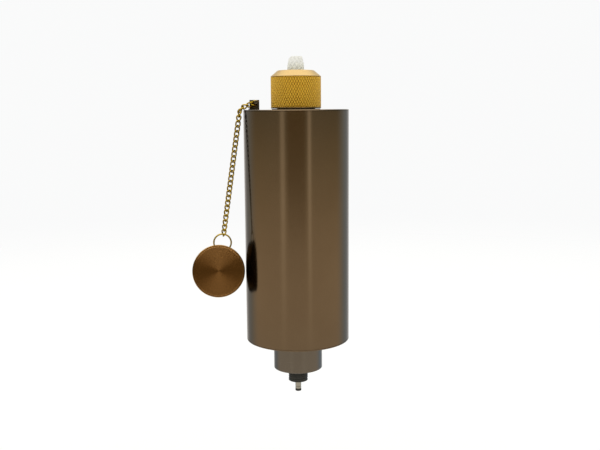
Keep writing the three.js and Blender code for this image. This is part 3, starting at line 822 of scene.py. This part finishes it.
def makeCoupling():
    low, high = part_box("screw_coupling")
    root = couplingSettings["root"] * mm
    crest = couplingSettings["crest"] * mm
    bore = couplingSettings["bore"] * mm
    boreEdge = couplingSettings["boreEdge"] * mm
    band = couplingSettings["endBand"] * mm
    top = high.z - couplingSettings["headroom"] * mm
    core = turn("couplingCore", [
        (bore + boreEdge, low.z), (crest - 0.35 * mm, low.z), (crest - 0.1 * mm, low.z + 0.2 * mm),
        (crest - 0.1 * mm, low.z + band), (root, low.z + band + 0.2 * mm), (root, high.z - 2.5 * mm),
        (root, top), (bore, top), (bore, low.z + boreEdge)], 96)
    thickness = couplingSettings["ridge"] * mm
    ridge = helix("couplingRidge", crest - thickness / 2, couplingSettings["pitch"] * mm,
                  couplingSettings["turns"], low.z + couplingSettings["firstRidge"] * mm, thickness)
    flange = mergedCopy("screw_coupling", "couplingFlange", couplingSettings["flangeEdge"] * mm)
    pick(flange)
    bpy.ops.object.mode_set(mode="EDIT")
    bpy.ops.mesh.select_all(action="SELECT")
    bpy.ops.mesh.bisect(plane_co=(0, 0, high.z - couplingSettings["keptFlange"] * mm), plane_no=(0, 0, 1),
                        clear_inner=True, use_fill=True)
    bpy.ops.object.mode_set(mode="OBJECT")
    coupling = joinAll([core, ridge, flange], "screwCoupling")
    give(coupling, blackPlastic, "canister", "black_plastic", "screw_coupling")

    for i in range(1, 4):
        screw = mergedCopy(f"coupling_screw_{i}", f"couplingScrew{i}", couplingSettings["screwEdge"] * mm)
        give(screw, zincSteel, "canister", "zinc_steel", f"coupling_screw_{i}")


plugSettings = {"radius": 2.6, "barrelWall": 0.45, "endEdge": 0.1, "endRise": 0.12, "waist": 1.6,
                "groove": 0.18, "shoulder": 1.2, "tipRound": 0.35, "tipLength": 1.8, "insulatorBore": 1.1,
                "insulatorPlay": 0.3, "contactBore": 0.4, "contactRadius": 0.8, "contactEdge": 0.1}


def makeBarrel():
    low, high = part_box("plug_barrel")
    outer = plugSettings["radius"] * mm
    inner = outer - plugSettings["barrelWall"] * mm
    groove = plugSettings["groove"] * mm
    shoulder = high.z - plugSettings["shoulder"] * mm
    waist = low.z + plugSettings["waist"] * mm
    barrel = turn("plugBarrel", [
        (inner, low.z), (outer - plugSettings["endEdge"] * mm, low.z),
        (outer, low.z + plugSettings["endRise"] * mm), (outer, waist),
        (outer - groove, waist + groove), (outer - groove, waist + 3 * groove), (outer, waist + 4 * groove),
        (outer, shoulder), (high.x, shoulder), (high.x, high.z), (inner, high.z)], 72)
    give(barrel, nickel, "canister", "nickel", "plug_barrel")


def makeInsulator():
    low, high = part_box("plug_insulator")
    outer = plugSettings["radius"] * mm
    bore = plugSettings["insulatorBore"] * mm
    sleeve = outer - (plugSettings["barrelWall"] + plugSettings["insulatorPlay"]) * mm
    tip = plugSettings["tipRound"] * mm
    tipTop = low.z + plugSettings["tipLength"] * mm
    outline = [(bore, low.z)] + arc(outer - tip, low.z + tip, tip, 270, 360, 4)
    outline += [(outer, tipTop), (sleeve, tipTop), (sleeve, high.z), (bore, high.z)]
    insulator = turn("plugInsulator", outline, 72)
    give(insulator, blackPlastic, "canister", "black_plastic", "plug_insulator")


def makeContact():
    low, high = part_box("plug_contact")
    bore = plugSettings["contactBore"] * mm
    radius = plugSettings["contactRadius"] * mm
    edge = plugSettings["contactEdge"] * mm
    contact = turn("plugContact", [
        (bore, low.z), (radius - edge, low.z), (radius, low.z + edge), (radius, high.z),
        (bore, high.z)], 36)
    give(contact, fittingBrass, "canister", "neck_brass", "plug_contact")


makeNeck()
makeCoupling()
makeBarrel()
makeInsulator()
makeContact()
print("neck, coupling and plug done")


# light ring
lightSettings = {"ribs": 6, "ribRise": 0.25, "play": 0.7, "plainEdge": 0.5}


def makeLens():
    low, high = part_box("light_lens")
    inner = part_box("neck_tube")[1].x + lightSettings["play"] * mm
    rise = lightSettings["ribRise"] * mm
    plain = lightSettings["plainEdge"] * mm
    count = lightSettings["ribs"] * 2
    outline = [(inner, high.z), (inner, low.z + rise)]
    for i in range(count + 1):
        radius = inner + plain + (high.x - inner - 2 * plain) * i / count
        outline.append((radius, low.z + (0 if i % 2 else rise)))
    outline += [(high.x, low.z + rise), (high.x, high.z)]
    lens = turn("lightLens", outline, 128)
    give(lens, opalLens, "canister", "opal_lens", "light_lens")


def finishLightParts():
    finishes = {"led_board": boardGreen, "lead_positive": redInsulation, "lead_negative": blackInsulation,
                "lead_grommet_right": blackRubber, "lead_grommet_left": blackRubber}
    for node, material in finishes.items():
        frame["nodes"][node].data.materials.clear()
        frame["nodes"][node].data.materials.append(material)


makeLens()
finishLightParts()
print("light ring done")


# chain tab with its screw and rivet
tabSettings = {"bevel": 0.25, "screwEdge": 0.1, "rivetEdge": 0.12, "slot": 0.55, "slotDepth": 0.35,
               "slotLength": 6}


def placed(middle, x, y, z):
    # the place of a piece whose own axes point along x, y and z
    columns = Matrix(((*x, 0), (*y, 0), (*z, 0), (0, 0, 0, 1)))
    return Matrix.Translation(middle) @ columns.transposed()


def jointNamed(name):
    return next(joint for joint in frame["joints"] if joint["name"] == name)


def makeTab():
    tab = mergedCopy("chain_tab", "chainTab", tabSettings["bevel"] * mm)
    give(tab, darkSteel, "canister", "dark_steel", "chain_tab")

    lift = jointNamed("chain_lift")
    axis = Vector(lift["axis"])
    screw = mergedCopy("chain_screw", "chainScrew", tabSettings["screwEdge"] * mm)
    middle = Vector(lift["pos_m"])
    corners = [v.co.dot(axis) for v in screw.data.vertices]
    face = middle + axis * (min(corners) - middle.dot(axis))
    clearSelection()
    bpy.ops.mesh.primitive_cube_add(size=1, location=(0, 0, 0))
    slotTool = bpy.context.object
    across = Vector((0, 0, 1)).cross(axis)
    size = Matrix.Diagonal((tabSettings["slotLength"] * mm, 2 * tabSettings["slotDepth"] * mm,
                            tabSettings["slot"] * mm, 1))
    slotTool.matrix_world = placed(face, across, axis, Vector((0, 0, 1))) @ size
    cutWith(screw, slotTool)
    settle(screw, "chainScrew")
    give(screw, darkSteel, "canister", "dark_steel", "chain_screw")
    rivet = mergedCopy("tab_rivet", "tabRivet", tabSettings["rivetEdge"] * mm)
    give(rivet, darkSteel, "canister", "dark_steel", "tab_rivet")


makeTab()
print("chain tab done")


# chain
# the wire's middle follows the CAD link, and the wire is a little fuller than the link's facets
chainSettings = {"wire": 1.26, "linkWire": 1.15, "lean": 0.89, "segments": 7}


def axesOf(node):
    # middle and long, wide and thin directions of a symmetric node
    points = np.array([v.co for v in frame["nodes"][node].data.vertices], float)
    points = np.unique(np.round(points, 7), axis=0)
    middle = (points.min(0) + points.max(0)) / 2
    for _ in range(3):
        values, vectors = np.linalg.eigh(np.cov((points - middle).T))
        spread = (points - middle) @ vectors
        middle = middle + vectors @ ((spread.min(0) + spread.max(0)) / 2)
    half = (spread.max(0) - spread.min(0)) / 2
    return Vector(middle), [Vector(vectors[:, i]) for i in (2, 1, 0)], [half[i] for i in (2, 1, 0)]


def makeLink(name, middle, axes, halves):
    wire = chainSettings["wire"] * mm
    linkWire = chainSettings["linkWire"] * mm
    reach = halves[0] - linkWire / 2
    side = halves[1] - linkWire / 2
    lean = chainSettings["lean"] * mm * 4 / 3
    clearSelection()
    bpy.ops.curve.primitive_bezier_circle_add(radius=1, location=(0, 0, 0))
    link = bpy.context.object
    handle = 0.5523
    for i, point in enumerate(link.data.splines[0].bezier_points):
        angle = math.pi / 2 * i
        place = Vector((side * math.sin(angle), 0, reach * math.cos(angle)))
        slope = Vector((side * math.cos(angle), 0, -reach * math.sin(angle))) * handle
        slope.y = lean * math.cos(2 * angle)
        point.handle_left_type = "FREE"
        point.handle_right_type = "FREE"
        point.co = place
        point.handle_left = place - slope
        point.handle_right = place + slope
    link.data.resolution_u = chainSettings["segments"]
    link.data.bevel_depth = wire / 2
    link.data.bevel_resolution = 3
    bpy.ops.object.convert(target="MESH")
    link = bpy.context.object
    long, wide, thin = axes
    if long.cross(wide).dot(thin) < 0:
        thin = -thin
    link.matrix_world = placed(middle, wide, thin, long)
    return settle(link, name, 60)


def makeChain():
    for body, nodes in frame["record"]["behaviour"]["bodies"].items():
        for node in nodes:
            if not node.startswith("chain_link_"):
                continue
            middle, axes, halves = axesOf(node)
            link = makeLink("chainLink" + node[-2:], middle, axes, halves)
            give(link, chainBrass, body, "chain_brass", node)


makeChain()
print("chain done")


# snuffer ring and cap
ringSettings = {"fullness": 1.18, "bead": 1.35, "beadLength": 1.7, "beadAngle": 172}
capSettings = {"edge": 0.6, "wall": 1.2, "mouthEdge": 0.3, "insideRound": 0.6, "faceStep": 0.12,
               "faceGroove": (2.0, 1.8, 1.5, 1.35), "holeRadius": 1.5, "holeDepth": 7}


def makeRing():
    middle, axes, halves = axesOf("snuffer_ring")
    wire = halves[2]
    clearSelection()
    bpy.ops.mesh.primitive_torus_add(major_radius=halves[0] - wire,
                                     minor_radius=wire * ringSettings["fullness"],
                                     major_segments=96, minor_segments=16)
    ring = bpy.context.object
    normal = axes[2]
    if normal.y > 0:
        normal = -normal
    upward = Vector((0, 0, 1))
    across = upward.cross(normal).normalized()
    upward = normal.cross(across)
    place = placed(middle, across, upward, normal)
    ring.matrix_world = place
    settle(ring, "snufferRing", 60)
    # the brazed joint in the ring's wire
    clearSelection()
    bpy.ops.mesh.primitive_uv_sphere_add(segments=20, ring_count=12, radius=wire * ringSettings["bead"])
    bead = bpy.context.object
    jointAngle = math.radians(ringSettings["beadAngle"])
    reach = halves[0] - wire
    spot = Matrix.Translation((reach * math.cos(jointAngle), reach * math.sin(jointAngle), 0))
    bead.matrix_world = place @ spot @ Matrix.Diagonal((1, ringSettings["beadLength"], 1, 1))
    settle(bead, "ringJoint", 60)
    give(ring, ringBrass, "snuffer_ring", "chain_brass", "snuffer_ring")
    give(bead, fittingBrass, "snuffer_ring", "chain_brass")


def discOf(node):
    # middle and outward normal of the largest flat face that looks forwards
    areas, sums = {}, {}
    mesh = frame["nodes"][node].data
    for polygon in mesh.polygons:
        if polygon.normal.y > -0.5:
            continue
        key = tuple(round(c, 2) for c in polygon.normal)
        areas[key] = areas.get(key, 0) + polygon.area
        before = sums.get(key, (Vector(), Vector()))
        sums[key] = (before[0] + polygon.center * polygon.area, before[1] + polygon.normal * polygon.area)
    best = max(areas, key=areas.get)
    return sums[best][0] / areas[best], sums[best][1].normalized()


def makeCapMaterial(matrix):
    # turned face: marks run round the cap's own axis
    material, tree, shader, where = startMaterial("snufferBrass")
    local = matrix.inverted()
    mapping = tree.nodes.new("ShaderNodeMapping")
    mapping.vector_type = "POINT"
    mapping.inputs["Location"].default_value = local.to_translation()
    mapping.inputs["Rotation"].default_value = local.to_euler()
    tree.links.new(where, mapping.inputs["Vector"])
    split = tree.nodes.new("ShaderNodeSeparateXYZ")
    tree.links.new(mapping.outputs[0], split.inputs[0])
    squares = [mathNode(tree, "MULTIPLY", split.outputs[i], split.outputs[i]) for i in (0, 1)]
    radius = mathNode(tree, "SQRT", mathNode(tree, "ADD", *squares))
    # the marks are laid out on angle and radius
    angle = mathNode(tree, "ARCTAN2", split.outputs[1], split.outputs[0])
    rings = tree.nodes.new("ShaderNodeCombineXYZ")
    tree.links.new(mathNode(tree, "MULTIPLY", mathNode(tree, "ABSOLUTE", angle), 0.004), rings.inputs[0])
    tree.links.new(radius, rings.inputs[2])
    marks = useGroup(tree, brushGroup, rings.outputs[0], Across=7000, Along=50, Depth=0.10)
    tone = useGroup(tree, toneGroup, mapping.outputs[0], Scale=60, Light=(0.52, 0.27, 0.09),
                    Dark=(0.38, 0.20, 0.07), Marks=marks.outputs["Marks"], MarkShare=0.45)
    # a brighter band of colour at the face's edge
    rim = (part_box("snuffer_cap")[1].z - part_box("snuffer_cap")[0].z) / 2
    band = tree.nodes.new("ShaderNodeMapRange")
    tree.links.new(radius, band.inputs["Value"])
    band.inputs["From Min"].default_value = rim - 2.1 * mm
    band.inputs["From Max"].default_value = rim - 1.1 * mm
    mix = tree.nodes.new("ShaderNodeMix")
    mix.data_type = "RGBA"
    tree.links.new(band.outputs["Result"], mix.inputs["Factor"])
    tree.links.new(tone.outputs["Colour"], mix.inputs[6])
    mix.inputs[7].default_value = (0.75, 0.45, 0.12, 1)
    tree.links.new(mix.outputs[2], shader.inputs["Base Color"])
    tree.links.new(setRange(tree, marks.outputs["Marks"], 0.20, 0.27), shader.inputs["Roughness"])
    tree.links.new(marks.outputs["Normal"], shader.inputs["Normal"])
    # the way round the cap's axis, for its drawn-out highlight
    out = tree.nodes.new("ShaderNodeVectorMath")
    out.operation = "SUBTRACT"
    tree.links.new(where, out.inputs[0])
    out.inputs[1].default_value = matrix.to_translation()
    around = tree.nodes.new("ShaderNodeVectorMath")
    around.operation = "CROSS_PRODUCT"
    tree.links.new(out.outputs[0], around.inputs[0])
    around.inputs[1].default_value = matrix.to_3x3() @ Vector((0, 0, 1))
    unit = tree.nodes.new("ShaderNodeVectorMath")
    unit.operation = "NORMALIZE"
    tree.links.new(around.outputs[0], unit.inputs[0])
    tree.links.new(unit.outputs[0], shader.inputs["Tangent"])
    shader.inputs["Metallic"].default_value = 1
    shader.inputs["Anisotropic"].default_value = 0.9
    shader.inputs["Anisotropic Rotation"].default_value = 0.25
    return material


def makeCap():
    # built mouth down, its face up the Z axis
    centre, normal = discOf("snuffer_cap")
    corners = [v.co - centre for v in frame["nodes"]["snuffer_cap"].data.vertices]
    depth = -min(corner.dot(normal) for corner in corners)
    radius = max((corner - normal * corner.dot(normal)).length for corner in corners)
    edge = capSettings["edge"] * mm
    wall = capSettings["wall"] * mm
    step = capSettings["faceStep"] * mm
    mouth = capSettings["mouthEdge"] * mm
    inside = capSettings["insideRound"] * mm
    groove = [radius - inset * mm for inset in capSettings["faceGroove"]]
    outline = [(0, 0), (groove[0], 0), (groove[1], -step), (groove[2], -step), (groove[3], 0)]
    outline += arc(radius - edge, -edge, edge, 90, 0, 5)
    outline += [(radius, -depth + mouth), (radius - mouth, -depth), (radius - wall, -depth)]
    outline += [(radius - wall, -wall - inside), (radius - wall - inside, -wall), (0, -wall)]
    cap = turn("snufferCap", outline, 160)
    side = Vector((0, 0, 1)).cross(normal).normalized()
    place = placed(centre, side, normal.cross(side), normal)
    cap.matrix_world = place
    settle(cap, "snufferCap")
    cutRingHoles(cap, side, normal)
    settle(cap, "snufferCap")
    give(cap, makeCapMaterial(place), "snuffer_cap", "snuffer_brass", "snuffer_cap")


def cutRingHoles(cap, side, normal):
    # the two holes the ring passes through
    middle, axes, halves = axesOf("snuffer_ring")
    swing = Vector(jointNamed("cap_swing")["pos_m"])
    ringRadius = halves[0] - halves[2]
    drop = (swing - middle).length
    chord = math.sqrt(ringRadius ** 2 - drop ** 2)
    for way in (-1, 1):
        hole = swing + side * way * chord
        outwards = (hole - middle).normalized()
        run = outwards.cross(normal).normalized()
        clearSelection()
        bpy.ops.mesh.primitive_cylinder_add(vertices=32, radius=capSettings["holeRadius"] * mm,
                                            depth=capSettings["holeDepth"] * mm, location=hole,
                                            rotation=run.to_track_quat("Z", "Y").to_euler())
        cutWith(cap, bpy.context.object)


makeRing()
makeCap()
print("snuffer done")


# studio
studioSettings = {
    "white": 0.955, "floorDrop": 0.16, "floorSize": 6.0, "secondBounce": 0.05,
    "gloss": {
        "low": (0.40, 0.37, 0.33), "side": (0.51, 0.445, 0.36), "sideHigh": (0.25, 0.213, 0.135),
        "room": (0.07, 0.085, 0.09), "opening": (0.13, 0.095, 0.043), "strip": (0.66, 0.62, 0.54),
        "edgeLeft": (0.25, 0.28, 0.31), "edgeRight": (0.27, 0.33, 0.40),
        "front": (1.7, 1.6, 1.45), "above": (1.0, 1.0, 1.0), "behind": (0.92, 0.92, 0.92),
    },
    "strips": ((-30.0, 7.0, 0.66), (28.0, 5.0, 0.85)),    # azimuth, half width, strength
    "fillLow": (0.62, 0.62, 0.60), "fillHigh": (1.02, 1.02, 1.0),
    # where each light begins and is full, in degrees round or up
    "zones": {
        "sideHigh": (-13.0, -1.0), "low": (-13.5, -17.5), "room": (-1.5, 2.5),
        "openingWidth": (26.0, 14.0), "openingFoot": (-8.6, -6.6),
        "stripFoot": (-17.0, -9.0), "stripTop": (7.0, 2.0),
        "leftToRight": (-20.0, 20.0), "edge": (95.0, 130.0), "behind": (138.0, 178.0),
        "frontWidth": (75.0, 50.0), "frontFoot": (20.0, 30.0), "above": (28.0, 50.0),
        "fill": (-60.0, 60.0),
    },
}


def stepNode(tree, value, low, high):
    node = tree.nodes.new("ShaderNodeMapRange")
    node.interpolation_type = "SMOOTHSTEP"
    tree.links.new(value, node.inputs["Value"])
    node.inputs["From Min"].default_value = low
    node.inputs["From Max"].default_value = high
    return node.outputs["Result"]


def blendColour(tree, factor, first, second):
    node = tree.nodes.new("ShaderNodeMix")
    node.data_type = "RGBA"
    tree.links.new(factor, node.inputs["Factor"])
    for socket, value in ((node.inputs[6], first), (node.inputs[7], second)):
        if isinstance(value, tuple):
            socket.default_value = (*value, 1)
        else:
            tree.links.new(value, socket)
    return node.outputs[2]


def makeWorld():
    world = bpy.data.worlds.new("studio")
    bpy.context.scene.world = world
    world.use_nodes = True
    world.cycles.sampling_method = "NONE"
    tree = world.node_tree
    tree.nodes.clear()
    where = tree.nodes.new("ShaderNodeTexCoord")
    split = tree.nodes.new("ShaderNodeSeparateXYZ")
    tree.links.new(where.outputs["Generated"], split.inputs[0])
    back = mathNode(tree, "MULTIPLY", split.outputs[1], -1.0)
    azimuth = mathNode(tree, "DEGREES", mathNode(tree, "ARCTAN2", split.outputs[0], back))
    height = mathNode(tree, "DEGREES", mathNode(tree, "ARCSINE", split.outputs[2]))
    away = mathNode(tree, "ABSOLUTE", azimuth)
    gloss = studioSettings["gloss"]
    zones = studioSettings["zones"]
    # the room, lighter low down and dim above eye level
    colour = blendColour(tree, stepNode(tree, height, *zones["sideHigh"]), gloss["side"], gloss["sideHigh"])
    colour = blendColour(tree, stepNode(tree, height, *zones["low"]), colour, gloss["low"])
    colour = blendColour(tree, stepNode(tree, height, *zones["room"]), colour, gloss["room"])
    # warm dark opening between the strips, in front of the torch
    openingFoot = stepNode(tree, height, *zones["openingFoot"])
    opening = mathNode(tree, "MULTIPLY", stepNode(tree, away, *zones["openingWidth"]), openingFoot)
    colour = blendColour(tree, opening, colour, gloss["opening"])
    # two narrow strips, which end low down and at eye level
    ends = mathNode(tree, "MULTIPLY", stepNode(tree, height, *zones["stripFoot"]),
                    stepNode(tree, height, *zones["stripTop"]))
    for centre, half, strength in studioSettings["strips"]:
        offset = mathNode(tree, "ABSOLUTE", mathNode(tree, "SUBTRACT", azimuth, centre))
        strip = mathNode(tree, "MULTIPLY", stepNode(tree, offset, half, half * 0.3), ends)
        strip = mathNode(tree, "MULTIPLY", strip, strength)
        colour = blendColour(tree, strip, colour, gloss["strip"])
    # cooler light from the sides, the white sweep behind, then bright light in front and overhead
    across = stepNode(tree, azimuth, *zones["leftToRight"])
    edge = blendColour(tree, across, gloss["edgeLeft"], gloss["edgeRight"])
    colour = blendColour(tree, stepNode(tree, away, *zones["edge"]), colour, edge)
    colour = blendColour(tree, stepNode(tree, away, *zones["behind"]), colour, gloss["behind"])
    front = mathNode(tree, "MULTIPLY", stepNode(tree, away, *zones["frontWidth"]),
                     stepNode(tree, height, *zones["frontFoot"]))
    colour = blendColour(tree, front, colour, gloss["front"])
    colour = blendColour(tree, stepNode(tree, height, *zones["above"]), colour, gloss["above"])
    # soft fill for matt surfaces
    fill = blendColour(tree, stepNode(tree, height, *zones["fill"]), studioSettings["fillLow"],
                       studioSettings["fillHigh"])
    path = tree.nodes.new("ShaderNodeLightPath")
    # one piece seen in another is dim
    dim = studioSettings["secondBounce"]
    again = stepNode(tree, path.outputs["Ray Depth"], 2.2, 2.8)
    dimmed = blendColour(tree, again, (1.0, 1.0, 1.0), (dim, dim, dim))
    product = tree.nodes.new("ShaderNodeMix")
    product.data_type = "RGBA"
    product.blend_type = "MULTIPLY"
    product.inputs["Factor"].default_value = 1
    tree.links.new(colour, product.inputs[6])
    tree.links.new(dimmed, product.inputs[7])
    colour = product.outputs[2]
    light = blendColour(tree, path.outputs["Is Glossy Ray"], fill, colour)
    white = studioSettings["white"]
    light = blendColour(tree, path.outputs["Is Camera Ray"], light, (white, white * 1.003, white * 1.003))
    background = tree.nodes.new("ShaderNodeBackground")
    tree.links.new(light, background.inputs["Color"])
    leave = tree.nodes.new("ShaderNodeOutputWorld")
    tree.links.new(background.outputs[0], leave.inputs["Surface"])


def makeFloor():
    clearSelection()
    size = studioSettings["floorSize"]
    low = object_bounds()[0].z
    bpy.ops.mesh.primitive_plane_add(size=size, location=(0, 0, low - studioSettings["floorDrop"]))
    floor = bpy.context.object
    floor.name = "paleFloor"
    floor.visible_glossy = False
    floor.visible_diffuse = False
    material, tree, shader, where = startMaterial("palePaper")
    grit = useGroup(tree, gritGroup, where, Scale=300, Depth=0.02)
    tree.links.new(grit.outputs["Normal"], shader.inputs["Normal"])
    shader.inputs["Base Color"].default_value = (0.9, 0.9, 0.9, 1)
    shader.inputs["Roughness"].default_value = 1
    shader.inputs["Specular IOR Level"].default_value = 0
    shader.inputs["Emission Color"].default_value = (1, 1, 1, 1)
    shader.inputs["Emission Strength"].default_value = 0.15
    # the paper runs out into the white behind it
    length = tree.nodes.new("ShaderNodeVectorMath")
    length.operation = "LENGTH"
    tree.links.new(where, length.inputs[0])
    fade = stepNode(tree, length.outputs["Value"], size * 0.42, size * 0.12)
    tree.links.new(fade, shader.inputs["Alpha"])
    floor.data.materials.append(material)


makeWorld()
makeFloor()
print("studio done")
